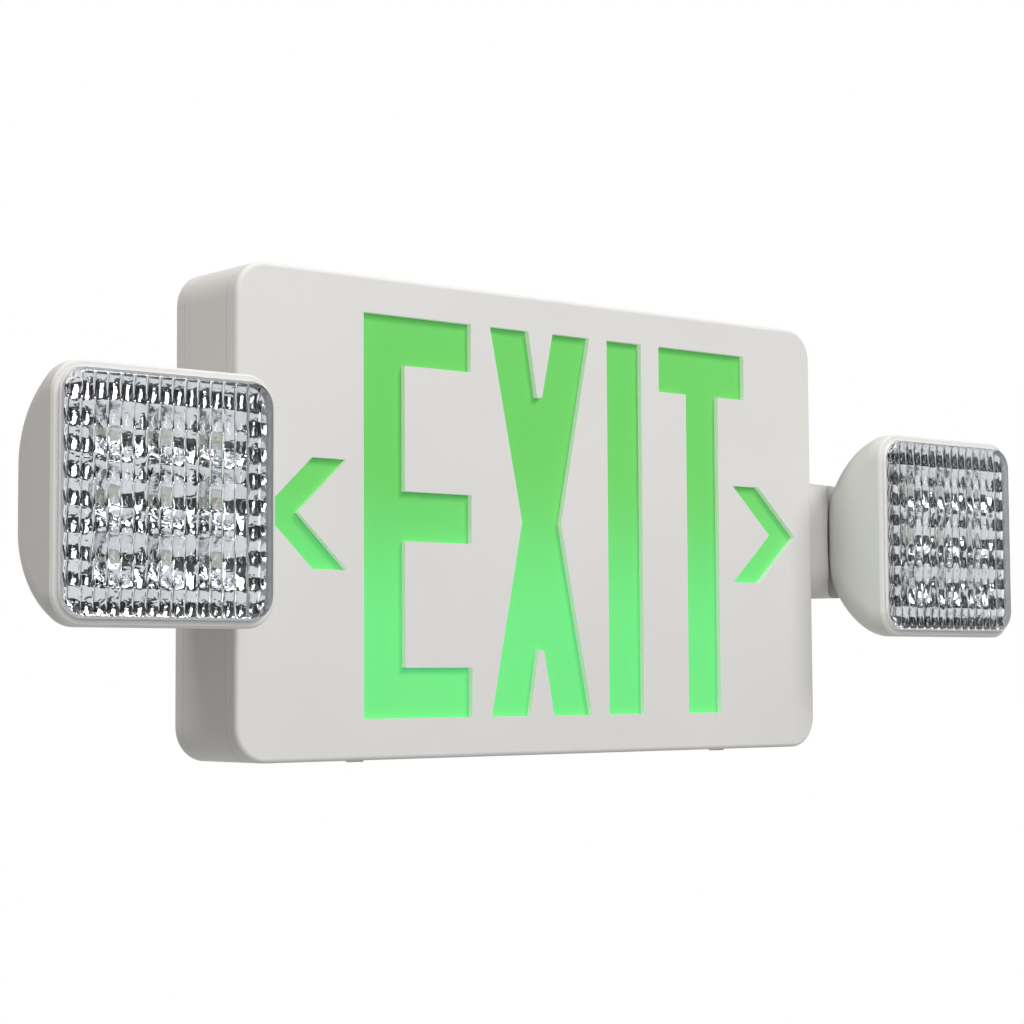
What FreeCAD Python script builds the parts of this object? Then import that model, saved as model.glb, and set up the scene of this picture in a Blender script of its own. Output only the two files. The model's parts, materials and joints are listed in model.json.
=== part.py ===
import FreeCAD, Part

import math
import os
import re

import Sketcher

# Wall-mounted exit sign with two adjustable emergency lamp heads.
# Frame: origin at the centre of the wall face, +X along the sign, -Y out of the wall, +Z up.
# "Depth" below means the distance in front of the wall, so depth 40 is y = -40.

SIZES = {
    # sign box
    "sign_width": 301.0,
    "sign_height": 182.0,
    "sign_depth": 40.0,
    "sign_corner": 13.0,
    "wall": 2.4,
    "fit_gap": 0.3,
    "slip_gap": 0.1,
    "cover_depth": 6.7,
    "cover_face": 2.4,
    "cover_edge": 1.8,
    "seam_edge": 0.45,
    "lip_depth": 2.5,
    "lip_wall": 1.2,
    "housing_floor": 2.5,
    "back_depth": 5.0,
    "back_floor": 2.4,
    "back_rim": 7.0,
    # chevrons of the face
    "chevron_tip": 139.2,
    "chevron_height": 41.2,
    "chevron_slant": 22.1,
    "chevron_band": 15.8,
    # latch tabs along the lower seam
    "latch_place": 94.6,
    "latch_width": 8.0,
    "latch_depth": 3.0,
    "latch_proud": 1.0,
    # light box behind the face
    "diffuser_thickness": 2.0,
    "tray_flange": 2.0,
    "tray_ledge": 4.0,
    "tray_depth": 8.4,
    "tray_draft": 9.0,
    "tray_wall": 1.2,
    "tray_corner": 10.0,
    "tray_post_radius": 3.0,
    "tray_post_inset": 9.0,
    "led_strip_margin": 7.0,
    "led_strip_width": 6.0,
    "led_strip_thickness": 1.6,
    "led_strip_depth": 29.6,
    "sign_led_count": 10.0,
    "sign_led_size": 4.0,
    "sign_led_height": 1.4,
    # wall fixings and cable entry
    "entry_radius": 11.1,
    "entry_relief": 3.0,
    "wall_screw_span_x": 240.0,
    "wall_screw_span_z": 130.0,
    "wall_screw_radius": 2.6,
    "box_screw_span": 83.3,
    "box_screw_radius": 2.2,
    "rib_thickness": 1.6,
    "rib_place": 66.0,
    # housing screws
    "case_screw_inset_x": 20.0,
    "case_screw_inset_z": 14.0,
    "case_screw_radius": 1.6,
    "case_screw_head_radius": 3.2,
    "case_screw_head_height": 2.0,
    "case_boss_radius": 4.0,
    # charger electronics
    "board_left": 20.0,
    "board_length": 105.0,
    "board_bottom_gap": 8.0,
    "board_height": 60.0,
    "board_thickness": 1.6,
    "standoff_height": 4.0,
    "standoff_radius": 2.5,
    "standoff_inset": 5.0,
    "transformer_length": 32.0,
    "transformer_width": 26.0,
    "transformer_height": 9.6,
    "transformer_bobbin": 16.0,
    "capacitor_radius": 4.0,
    "capacitor_length": 14.0,
    "capacitor_pitch": 11.0,
    "terminal_length": 26.0,
    "terminal_width": 9.0,
    "terminal_height": 9.0,
    "terminal_ways": 5.0,
    "terminal_hole": 1.6,
    # battery
    "cell_radius": 7.1,
    "cell_length": 50.5,
    "cell_count": 3.0,
    "cell_web": 6.0,
    "battery_inset": 30.1,
    "battery_rise": 16.6,
    "strap_width": 12.0,
    "strap_thickness": 1.2,
    "strap_foot": 9.0,
    # test button and status light, in the lower wall
    "button_place": 40.0,
    "button_radius": 3.8,
    "button_collar": 1.2,
    "button_collar_radius": 5.0,
    "button_stem_radius": 1.5,
    "button_stem_length": 3.5,
    "button_travel": 1.5,
    "switch_size": 6.0,
    "switch_gap": 0.3,
    "status_place": 62.0,
    "status_radius": 2.0,
    "status_length": 8.0,
    "status_collar_radius": 3.2,
    # lamp arm
    "arm_axis_depth": 21.0,
    "arm_height": 53.0,
    "arm_thickness": 33.0,
    "arm_length": 45.5,
    "arm_taper": 2.4,
    "arm_end_round": 8.0,
    "arm_side_gap": 0.3,
    "spigot_radius": 7.2,
    "spigot_length": 8.0,
    "pivot_gap": 0.06,
    "wire_hole_radius": 4.0,
    "wire_hole_length": 26.0,
    "washer_thickness": 1.4,
    "nut_thickness": 5.0,
    "nut_radius": 9.5,
    "tongue_angle": 120.0,
    "tongue_width": 8.0,
    "tongue_thickness": 6.0,
    "tongue_root": 8.0,
    "eye_radius": 5.0,
    "pin_radius": 2.5,
    "pin_length": 24.0,
    "keeper_thickness": 1.1,
    "keeper_length": 32.0,
    # lamp head
    "head_place": 200.2,
    "head_ball_depth": 60.1,
    "ball_radius": 41.7,
    "head_size": 87.3,
    "head_corner": 11.5,
    "head_rim_forward": 14.0,
    "head_side": 4.5,
    "dome_flat": 0.3,
    "head_wall": 2.2,
    "head_rim": 2.5,
    "head_rim_edge": 0.8,
    "cup_gap": 1.5,
    "cup_tall": 90.0,
    "pan_out_angle": 18.0,
    "pan_in_angle": 8.0,
    "slot_gap": 0.5,
    "ledge_depth": 5.1,
    "ledge_thickness": 2.0,
    "ledge_opening": 73.0,
    "lens_proud": 3.6,
    "lens_wall": 2.0,
    "lens_face": 2.5,
    "lens_edge": 3.6,
    "flute_pitch": 4.9,
    "flute_radius": 1.6,
    "flute_height": 0.9,
    "flute_count": 15.0,
    "gasket_thickness": 1.0,
    "reflector_size": 77.0,
    "reflector_depth": 5.0,
    "cup_pitch": 24.6,
    "cup_radius": 11.9,
    "cup_bottom_radius": 4.0,
    "lamp_led_size": 4.6,
    "lamp_led_height": 1.0,
    "lamp_led_dome": 1.9,
}

doc = FreeCAD.newDocument("ExitLight")
sheet = doc.addObject("Spreadsheet::Sheet", "Sizes")
for row, (alias, number) in enumerate(SIZES.items(), start=1):
    sheet.set(f"A{row}", alias)
    sheet.set(f"B{row}", str(number))
    sheet.setAlias(f"B{row}", alias)
doc.recompute()

FORWARD = FreeCAD.Vector(0, -1, 0)
UP = FreeCAD.Vector(0, 0, 1)
OUTWARD = FreeCAD.Vector(1, 0, 0)
ORIGIN = FreeCAD.Vector(0, 0, 0)


# ---- helpers: formulas of the sheet's sizes -------------------------------------------------

def formula(text):
    """Point every size that the text names at its cell in the sheet."""
    return re.sub(r"[a-z_]+", lambda word: ("Sizes." if word.group() in SIZES else "") + word.group(), text)


def number(text):
    """The value of a formula now."""
    return float(sheet.evalExpression(formula(text)))


def bind(item, formulas):
    """Tie properties of an object to formulas."""
    for name, text in formulas.items():
        item.setExpression(name, formula(text))


# ---- helpers: Part primitives and booleans --------------------------------------------------

def place(item, x, y, z):
    bind(item, {"Placement.Base.x": x, "Placement.Base.y": y, "Placement.Base.z": z})
    return item


def box(name, x, y, z, length, width, height):
    """A box from its low corner and its lengths along X, Y and Z."""
    item = doc.addObject("Part::Box", name)
    bind(item, {"Length": length, "Width": width, "Height": height})
    return place(item, x, y, z)


def cylinder(name, x, y, z, radius, height, direction=UP):
    item = doc.addObject("Part::Cylinder", name)
    item.Placement = FreeCAD.Placement(ORIGIN, FreeCAD.Rotation(UP, direction))
    bind(item, {"Radius": radius, "Height": height})
    return place(item, x, y, z)


def sphere(name, x, y, z, radius):
    item = doc.addObject("Part::Sphere", name)
    bind(item, {"Radius": radius})
    return place(item, x, y, z)


def group(name, items):
    """Separate solids that share one node."""
    item = doc.addObject("Part::Compound", name)
    item.Links = items
    return item


def fuse(name, items):
    item = doc.addObject("Part::MultiFuse", name)
    item.Shapes = items
    return item


def cut(name, base, tools):
    item = doc.addObject("Part::Cut", name)
    item.Base = base
    item.Tool = tools[0] if len(tools) == 1 else group(name + "_tools", tools)
    return item


# ---- helpers: PartDesign bodies -------------------------------------------------------------

def new_body(name):
    return doc.addObject("PartDesign::Body", name)


def sketch_on(body, role, offset):
    """A sketch on one of the body's own origin planes, moved along the plane's normal."""
    item = body.newObject("Sketcher::SketchObject", body.Name + "_sketch")
    support = next(plane for plane in body.Origin.OriginFeatures if plane.Role == role)
    item.AttachmentSupport = [(support, "")]
    item.MapMode = "FlatFace"
    bind(item, {"AttachmentOffset.Base.z": offset})
    return item


def dimension(sketch, kind, where, size):
    """A driving dimension of the sketch, tied to a formula."""
    index = sketch.addConstraint(Sketcher.Constraint(kind, *where, number(size)))
    bind(sketch, {f"Constraints[{index}]": size})


def locate(sketch, where, x, y):
    """Fix a point of the sketch at x and y from the sketch's origin."""
    dimension(sketch, "DistanceX", (-1, 1, *where), x)
    dimension(sketch, "DistanceY", (-1, 1, *where), y)


def rounded_rectangle(sketch, width, height, radius):
    """A rectangle centred on the sketch's origin, with four equal round corners."""
    right, top, corner = number(width) / 2, number(height) / 2, number(radius)
    centres = [(1, -1), (1, 1), (-1, 1), (-1, -1)]
    for quarter, (across, along) in enumerate(centres):
        centre = FreeCAD.Vector(across * (right - corner), along * (top - corner), 0)
        start = (quarter - 1) * math.pi / 2
        circle = Part.Circle(centre, UP, corner)
        sketch.addGeometry(Part.ArcOfCircle(circle, start, start + math.pi / 2), False)
    arcs = [geometry for geometry in sketch.Geometry]
    for quarter in range(4):
        ends = arcs[quarter].EndPoint, arcs[(quarter + 1) % 4].StartPoint
        sketch.addGeometry(Part.LineSegment(*ends), False)
    for quarter in range(4):
        side = quarter + 4
        sketch.addConstraint(Sketcher.Constraint("Tangent", quarter, 2, side, 1))
        sketch.addConstraint(Sketcher.Constraint("Tangent", side, 2, (quarter + 1) % 4, 1))
        direction = "Vertical" if quarter % 2 == 0 else "Horizontal"
        sketch.addConstraint(Sketcher.Constraint(direction, side))
    for quarter in range(1, 4):
        sketch.addConstraint(Sketcher.Constraint("Equal", 0, quarter))
    sketch.addConstraint(Sketcher.Constraint("Symmetric", 1, 3, 3, 3, -1, 1))
    dimension(sketch, "Radius", (0,), radius)
    dimension(sketch, "DistanceX", (6, 1, 4, 1), width)
    dimension(sketch, "DistanceY", (7, 1, 5, 1), height)


def polygon(sketch, corners):
    """A closed outline through corners given as pairs of formulas."""
    points = [FreeCAD.Vector(number(x), number(y), 0) for x, y in corners]
    first = len(sketch.Geometry)
    count = len(points)
    for index in range(count):
        sketch.addGeometry(Part.LineSegment(points[index], points[(index + 1) % count]), False)
    for index, (x, y) in enumerate(corners):
        before = first + (index - 1) % count
        sketch.addConstraint(Sketcher.Constraint("Coincident", before, 2, first + index, 1))
        locate(sketch, (first + index, 1), x, y)


def rectangle(sketch, left, right, bottom, top):
    polygon(sketch, [(left, bottom), (right, bottom), (right, top), (left, top)])


def circle(sketch, x, y, radius):
    item = Part.Circle(FreeCAD.Vector(number(x), number(y), 0), UP, number(radius))
    index = sketch.addGeometry(item, False)
    locate(sketch, (index, 3), x, y)
    dimension(sketch, "Radius", (index,), radius)


def pad(body, sketch, length):
    item = body.newObject("PartDesign::Pad", body.Name + "_pad")
    item.Profile = sketch
    bind(item, {"Length": length})
    return item


def pocket(body, sketch, length, reverse=False):
    """A cut against the sketch's normal, or along it when reversed."""
    item = body.newObject("PartDesign::Pocket", body.Name + "_pocket")
    item.Profile = sketch
    item.Reversed = reverse
    bind(item, {"Length": length})
    return item


def loft(body, kind, sketches):
    item = body.newObject("PartDesign::" + kind, body.Name + "_loft")
    item.Profile = sketches[0]
    item.Sections = sketches[1:]
    return item


def fillet(body, feature, radius, wanted):
    """Round the edges of a feature for which wanted(edge) is true."""
    doc.recompute()
    edges = enumerate(feature.Shape.Edges, start=1)
    names = [f"Edge{index}" for index, edge in edges if wanted(edge)]
    item = body.newObject("PartDesign::Fillet", body.Name + "_fillet")
    item.Base = (feature, names)
    bind(item, {"Radius": radius})
    return item


def primitive(body, kind, formulas, rotation=None):
    """An additive or subtractive primitive of a body, placed in the body's own frame."""
    item = body.newObject("PartDesign::" + kind, body.Name + "_" + kind.lower())
    if rotation is not None:
        item.Placement = FreeCAD.Placement(ORIGIN, rotation)
    bind(item, formulas)
    return item


def row_of(body, feature, pitch, count):
    """Repeat a feature along X."""
    item = body.newObject("PartDesign::LinearPattern", body.Name + "_row")
    axis = next(line for line in body.Origin.OriginFeatures if line.Role == "X_Axis")
    item.Originals = [feature]
    item.Direction = (axis, [""])
    item.Mode = "Spacing"
    bind(item, {"Offset": pitch, "Occurrences": count})
    body.Tip = item
    return item


def at(x, y, z):
    return {"Placement.Base.x": x, "Placement.Base.y": y, "Placement.Base.z": z}


def edge_at_depth(depth):
    """Picks edges that lie at one depth in front of the wall."""
    return lambda edge: abs(edge.BoundBox.YMin + depth) < 0.01 and abs(edge.BoundBox.YMax + depth) < 0.01


# ---- places shared by several pieces --------------------------------------------------------

SEAM = "sign_depth - cover_depth"
LIP_INSET = "(wall + fit_gap + lip_wall)"
PANEL_WIDTH = f"(sign_width - 2 * ({LIP_INSET} + fit_gap))"
PANEL_HEIGHT = f"(sign_height - 2 * ({LIP_INSET} + fit_gap))"
PANEL_CORNER = f"(sign_corner - {LIP_INSET} - fit_gap)"
DIFFUSER_BACK = "(sign_depth - cover_face - slip_gap - diffuser_thickness)"
TRAY_FRONT = f"({DIFFUSER_BACK} - slip_gap)"
TRAY_SEAT = f"({TRAY_FRONT} - tray_flange)"
TRAY_BACK = f"({TRAY_SEAT} - tray_depth)"
FLOOR = "(back_depth + housing_floor)"
BOARD_BACK = f"({FLOOR} + standoff_height)"
BOARD_FRONT = f"({BOARD_BACK} + board_thickness)"
BOARD_BOTTOM = "(board_bottom_gap - sign_height / 2)"
BUTTON_DEPTH = f"({BOARD_FRONT} + switch_size / 2)"
HOUSING_INSIDE = "(sign_width / 2 - wall)"
LOWER_WALL = "(wall - sign_height / 2)"


# ---- sign box -------------------------------------------------------------------------------

def face_plate():
    """Snap-on cover: rim, locating lip, latch tabs and the two chevron apertures."""
    body = new_body("face_plate")
    outline = sketch_on(body, "XZ_Plane", SEAM)
    rounded_rectangle(outline, "sign_width", "sign_height", "sign_corner")
    cover = pad(body, outline, "cover_depth")
    rounded = fillet(body, cover, "cover_edge", edge_at_depth(number("sign_depth")))
    fillet(body, rounded, "seam_edge", edge_at_depth(number(SEAM)))
    lip = sketch_on(body, "XZ_Plane", f"{SEAM} - lip_depth")
    step = "(wall + fit_gap)"
    rounded_rectangle(lip, f"sign_width - 2 * {step}", f"sign_height - 2 * {step}", f"sign_corner - {step}")
    pad(body, lip, "lip_depth")
    hollow = sketch_on(body, "XZ_Plane", f"{SEAM} - lip_depth")
    sides = [f"sign_width - 2 * {LIP_INSET}", f"sign_height - 2 * {LIP_INSET}", f"sign_corner - {LIP_INSET}"]
    rounded_rectangle(hollow, *sides)
    pocket(body, hollow, "lip_depth + cover_depth - cover_face", reverse=True)
    apertures = sketch_on(body, "XZ_Plane", "sign_depth")
    for side in ("", "-"):
        polygon(apertures, [
            (f"{side}(chevron_tip)", "0"),
            (f"{side}(chevron_tip - chevron_slant)", "chevron_height / 2"),
            (f"{side}(chevron_tip - chevron_slant - chevron_band)", "chevron_height / 2"),
            (f"{side}(chevron_tip - chevron_band)", "0"),
            (f"{side}(chevron_tip - chevron_slant - chevron_band)", "-chevron_height / 2"),
            (f"{side}(chevron_tip - chevron_slant)", "-chevron_height / 2"),
        ])
    pocket(body, apertures, "2 * cover_face")
    tabs = sketch_on(body, "XZ_Plane", f"{SEAM} - latch_depth")
    for side in ("", "-"):
        ends = sorted((f"{side}(latch_place - latch_width / 2)", f"{side}(latch_place + latch_width / 2)"), key=number)
        rectangle(tabs, *ends, "-sign_height / 2 - latch_proud", LOWER_WALL)
    pad(body, tabs, "latch_depth + latch_proud")
    return body


def housing():
    """Open tub between the cover and the back plate, with arm bores and posts for the light box."""
    body = new_body("housing")
    outline = sketch_on(body, "XZ_Plane", "back_depth")
    rounded_rectangle(outline, "sign_width", "sign_height", "sign_corner")
    tub = pad(body, outline, f"{SEAM} - back_depth")
    rounded = fillet(body, tub, "seam_edge", edge_at_depth(number(SEAM)))
    fillet(body, rounded, "seam_edge", edge_at_depth(number("back_depth")))
    hollow = sketch_on(body, "XZ_Plane", SEAM)
    rounded_rectangle(hollow, "sign_width - 2 * wall", "sign_height - 2 * wall", "sign_corner - wall")
    pocket(body, hollow, f"{SEAM} - {FLOOR}")
    posts = sketch_on(body, "XZ_Plane", "back_depth")
    for across in ("", "-"):
        for along in ("", "-"):
            centre = f"{across}(sign_width / 2 - tray_post_inset)", f"{along}(sign_height / 2 - tray_post_inset)"
            circle(posts, *centre, "tray_post_radius")
    pad(body, posts, f"{TRAY_SEAT} - back_depth")
    standoffs = sketch_on(body, "XZ_Plane", "back_depth")
    for x in ("standoff_inset", "(board_length - standoff_inset)"):
        for z in ("standoff_inset", "(board_height - standoff_inset)"):
            circle(standoffs, f"board_left + {x}", f"{BOARD_BOTTOM} + {z}", "standoff_radius")
    pad(body, standoffs, f"{BOARD_BACK} - back_depth")
    floor_holes = sketch_on(body, "XZ_Plane", FLOOR)
    circle(floor_holes, "0", "0", "entry_radius + entry_relief")
    for x, z in case_screw_places():
        circle(floor_holes, x, z, "case_screw_radius + slip_gap")
    pocket(body, floor_holes, "2 * housing_floor")
    notches = sketch_on(body, "XZ_Plane", SEAM)
    for side in ("", "-"):
        reach = "(latch_width / 2 + fit_gap)"
        ends = sorted((f"{side}(latch_place - {reach})", f"{side}(latch_place + {reach})"), key=number)
        rectangle(notches, *ends, "-sign_height / 2 - wall", LOWER_WALL)
    pocket(body, notches, "latch_depth + fit_gap")
    bores = sketch_on(body, "YZ_Plane", "-sign_width")
    circle(bores, "-arm_axis_depth", "0", "spigot_radius + pivot_gap")
    pocket(body, bores, "2 * sign_width", reverse=True)
    lower = sketch_on(body, "XY_Plane", f"{LOWER_WALL} + wall")
    circle(lower, "button_place", f"-{BUTTON_DEPTH}", "button_radius + slip_gap")
    circle(lower, "status_place", f"-{BUTTON_DEPTH}", "status_radius + slip_gap")
    pocket(body, lower, "3 * wall")
    return body


def case_screw_places():
    """The four screws that hold the housing to the back plate."""
    across, along = "(sign_width / 2 - case_screw_inset_x)", "(sign_height / 2 - case_screw_inset_z)"
    return [(f"{a}{across}", f"{b}{along}") for a in ("", "-") for b in ("", "-")]


def back_plate():
    """Shallow moulded plate that is fixed to the wall or to a junction box."""
    body = new_body("back_plate")
    outline = sketch_on(body, "XZ_Plane", "0")
    rounded_rectangle(outline, "sign_width", "sign_height", "sign_corner")
    plate = pad(body, outline, "back_depth")
    fillet(body, plate, "seam_edge", edge_at_depth(number("back_depth")))
    dish = sketch_on(body, "XZ_Plane", "back_depth")
    sides = ["sign_width - 2 * back_rim", "sign_height - 2 * back_rim", "sign_corner - back_rim / 2"]
    rounded_rectangle(dish, *sides)
    pocket(body, dish, "back_depth - back_floor")
    bosses = sketch_on(body, "XZ_Plane", "back_floor / 2")
    for x, z in case_screw_places():
        circle(bosses, x, z, "case_boss_radius")
    pad(body, bosses, "back_depth - back_floor / 2")
    ribs = sketch_on(body, "XZ_Plane", "back_floor / 2")
    for side in ("", "-"):
        edges = sorted((f"{side}(rib_place)", f"{side}(rib_place + rib_thickness)"), key=number)
        rectangle(ribs, *edges, "back_rim / 2 - sign_height / 2", "sign_height / 2 - back_rim / 2")
    pad(body, ribs, "back_depth - back_floor / 2")
    holes = sketch_on(body, "XZ_Plane", "back_depth")
    circle(holes, "0", "0", "entry_radius")
    for x in ("", "-"):
        for z in ("", "-"):
            circle(holes, f"{x}wall_screw_span_x / 2", f"{z}wall_screw_span_z / 2", "wall_screw_radius")
    for z in ("", "-"):
        circle(holes, "0", f"{z}box_screw_span / 2", "box_screw_radius")
    for x, z in case_screw_places():
        circle(holes, x, z, "case_screw_radius + slip_gap")
    pocket(body, holes, "2 * back_depth")
    return body


def housing_screws():
    """Pan-head screws from inside the housing into the back plate's bosses."""
    screws = []
    for x, z in case_screw_places():
        shank = cylinder("screw_shank", x, f"-{FLOOR}", z, "case_screw_radius", f"{FLOOR} - back_floor / 2", -FORWARD)
        head = cylinder("screw_head", x, f"-{FLOOR}", z, "case_screw_head_radius", "case_screw_head_height", FORWARD)
        screws.append(fuse("screw", [shank, head]))
    return group("housing_screws", screws)


# ---- light box ------------------------------------------------------------------------------

def sign_diffuser():
    """Coloured panel that glows through the face's apertures."""
    body = new_body("sign_diffuser")
    outline = sketch_on(body, "XZ_Plane", DIFFUSER_BACK)
    rounded_rectangle(outline, PANEL_WIDTH, PANEL_HEIGHT, PANEL_CORNER)
    pad(body, outline, "diffuser_thickness")
    return body


def tray_section(body, depth, inset_x, inset_z, corner):
    section = sketch_on(body, "XZ_Plane", depth)
    rounded_rectangle(section, f"{PANEL_WIDTH} - 2 * ({inset_x})", f"{PANEL_HEIGHT} - 2 * ({inset_z})", corner)
    return section


def reflector_tray():
    """White light box with drafted walls and a flange that sits on the housing's posts."""
    body = new_body("reflector_tray")
    pad(body, tray_section(body, TRAY_SEAT, "0", "0", PANEL_CORNER), "tray_flange")
    mouth = tray_section(body, TRAY_SEAT, "tray_ledge", "tray_ledge", "tray_corner")
    draft_x, draft_z = "tray_ledge + tray_draft", "tray_ledge + tray_draft / 2"
    base = tray_section(body, TRAY_BACK, draft_x, draft_z, "tray_corner")
    loft(body, "AdditiveLoft", [mouth, base])
    wall = " + tray_wall"
    inner_mouth = tray_section(body, TRAY_FRONT, "tray_ledge" + wall, "tray_ledge" + wall, "tray_corner - tray_wall")
    floor = tray_section(body, TRAY_BACK + wall, draft_x + wall, draft_z + wall, "tray_corner - tray_wall")
    loft(body, "SubtractiveLoft", [inner_mouth, floor])
    return body


LED_STRIP_FOOT = f"(tray_wall + tray_ledge + tray_draft / 2 - {PANEL_HEIGHT} / 2)"
LED_STRIP_LENGTH = f"({PANEL_WIDTH} - 2 * (tray_ledge + tray_draft + tray_wall + led_strip_margin))"


def sign_led_board():
    """Narrow circuit board along the floor of the light box."""
    size = LED_STRIP_LENGTH, "led_strip_width", "led_strip_thickness"
    corner = f"-{LED_STRIP_LENGTH} / 2", "-led_strip_depth - led_strip_width / 2", LED_STRIP_FOOT
    return box("sign_led_board", *corner, *size)


def sign_leds():
    """Surface-mounted lights, evenly spaced along the strip."""
    lights = []
    count = round(SIZES["sign_led_count"])
    for index in range(count):
        centre = f"{LED_STRIP_LENGTH} * (({index} + 0.5) / sign_led_count - 0.5)"
        corner = f"{centre} - sign_led_size / 2", "-led_strip_depth - sign_led_size / 2"
        size = "sign_led_size", "sign_led_size", "sign_led_height"
        lights.append(box("sign_led", *corner, f"{LED_STRIP_FOOT} + led_strip_thickness", *size))
    return group("sign_leds", lights)


# ---- charger, battery and controls ----------------------------------------------------------

def charger_board():
    corner = "board_left", f"-{BOARD_FRONT}", BOARD_BOTTOM
    return box("charger_board", *corner, "board_length", "board_thickness", "board_height")


def on_board(name, x, z, length, height, rise):
    """A box that stands on the front of the charger board, placed from the board's lower left."""
    corner = f"board_left + {x}", f"-{BOARD_FRONT} - ({rise})", f"{BOARD_BOTTOM} + {z}"
    return box(name, *corner, length, rise, height)


def transformer():
    """Laminated core with its winding bobbin standing proud of it."""
    core = on_board("core", "board_length / 2", "board_height / 4", "transformer_length", "transformer_width", "transformer_height")
    middle = "board_length / 2 + (transformer_length - transformer_bobbin) / 2"
    bobbin = on_board("bobbin", middle, "board_height / 4 - wall", "transformer_bobbin",
                      "transformer_width + 2 * wall", "transformer_height + tray_wall")
    return fuse("transformer", [core, bobbin])


def capacitors():
    """Electrolytic cans lying on the board."""
    cans = []
    for index in range(2):
        x = f"board_left + capacitor_pitch * ({index} + 1) - capacitor_radius / 2"
        z = f"{BOARD_BOTTOM} + board_height / 2"
        cans.append(cylinder("can", x, f"-{BOARD_FRONT} - capacitor_radius", z, "capacitor_radius", "capacitor_length"))
    return group("capacitors", cans)


def terminal_block():
    """Screw terminals for the supply, along the board's upper edge."""
    top = "board_height - terminal_width"
    block = on_board("block", "capacitor_pitch", top, "terminal_length", "terminal_width", "terminal_height")
    holes = []
    for index in range(round(SIZES["terminal_ways"])):
        x = f"board_left + capacitor_pitch + terminal_length * ({index} + 0.5) / terminal_ways"
        z = f"{BOARD_BOTTOM} + board_height - terminal_width / 2"
        holes.append(cylinder("way", x, f"-{BOARD_FRONT} - terminal_height / 2", z, "terminal_hole", "terminal_height", FORWARD))
    return cut("terminal_block", block, holes)


BATTERY_LEFT = f"(battery_inset - {HOUSING_INSIDE})"
BATTERY_FOOT = f"({LOWER_WALL} + battery_rise)"


def cell_centre(index):
    return f"({BATTERY_LEFT} + cell_radius * (1 + 2 * {index}))"


CELL_DEPTH = f"({FLOOR} + slip_gap + cell_radius)"


def battery_pack():
    """Round cells side by side in one sealed sleeve."""
    last = round(SIZES["cell_count"]) - 1
    cells = [cylinder("cell", cell_centre(index), f"-{CELL_DEPTH}", BATTERY_FOOT, "cell_radius", "cell_length")
             for index in range(last + 1)]
    sleeve = box("sleeve", cell_centre(0), f"-{CELL_DEPTH} - cell_web", BATTERY_FOOT,
                 f"{cell_centre(last)} - {cell_centre(0)}", "2 * cell_web", "cell_length")
    return fuse("battery_pack", cells + [sleeve])


def battery_strap():
    """Sheet-metal strap over the cells, with a foot at each side."""
    low = f"{BATTERY_FOOT} + (cell_length - strap_width) / 2"
    left = f"({BATTERY_LEFT} - slip_gap)"
    right = f"({BATTERY_LEFT} + 2 * cell_radius * cell_count + slip_gap)"
    top = "2 * cell_radius + 2 * slip_gap + strap_thickness"
    front = f"-{FLOOR} - ({top})"
    bridge = box("bridge", f"{left} - strap_thickness", front, low,
                 f"{right} - ({left}) + 2 * strap_thickness", "strap_thickness", "strap_width")
    legs = [box("leg", x, front, low, "strap_thickness", top, "strap_width")
            for x in (f"{left} - strap_thickness", right)]
    feet = [box("foot", x, f"-{FLOOR} - strap_thickness", low, "strap_foot", "strap_thickness", "strap_width")
            for x in (f"{left} - strap_foot", right)]
    return fuse("battery_strap", [bridge] + legs + feet)


COLLAR_TOP = f"({LOWER_WALL} + slip_gap + button_collar)"
STEM_TOP = f"({COLLAR_TOP} + button_stem_length)"


def test_button():
    """Flush push button with an inner collar and a stem to the switch."""
    depth = f"-{BUTTON_DEPTH}"
    foot = "-sign_height / 2"
    cap = cylinder("cap", "button_place", depth, foot, "button_radius", f"{COLLAR_TOP} - ({foot})")
    collar = cylinder("collar", "button_place", depth, f"{LOWER_WALL} + slip_gap", "button_collar_radius", "button_collar")
    stem = cylinder("stem", "button_place", depth, foot, "button_stem_radius", f"{STEM_TOP} - ({foot})")
    return fuse("test_button", [cap, collar, stem])


def test_switch():
    """Push switch soldered to the board, above the button's stem."""
    corner = "button_place - switch_size / 2", f"-{BOARD_FRONT} - switch_size"
    low = f"{STEM_TOP} + button_travel + switch_gap"
    return box("test_switch", *corner, low, "switch_size", "switch_size", "switch_size")


def status_lens():
    """Light pipe that shows the charge light in the lower wall."""
    depth = f"-{BUTTON_DEPTH}"
    pipe = cylinder("pipe", "status_place", depth, "-sign_height / 2", "status_radius", "status_length")
    collar = cylinder("collar", "status_place", depth, f"{LOWER_WALL}", "status_collar_radius", "button_collar")
    return fuse("status_lens", [pipe, collar])


# ---- lamp arms and heads, modelled on the right-hand side -----------------------------------

ARM_BASE = "(sign_width / 2 + arm_side_gap)"
BALL_Y = "-head_ball_depth"
RIM_FRONT = "(head_ball_depth + head_rim_forward)"
LEDGE_FRONT = f"({RIM_FRONT} - ledge_depth)"
LENS_FRONT = f"({RIM_FRONT} + lens_proud)"
WINDOW = "(head_size - 2 * head_rim)"
WINDOW_CORNER = "(head_corner - head_rim)"


def arm_section(body, x, shrink):
    """Upright oval section of the arm."""
    section = sketch_on(body, "YZ_Plane", x)
    width, height = f"arm_thickness - {shrink}", f"arm_height - {shrink}"
    corner = f"({width}) / 2 - slip_gap"
    rounded_rectangle(section, width, height, corner)
    bind(section, {"AttachmentOffset.Base.x": "-arm_axis_depth"})
    return section


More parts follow.
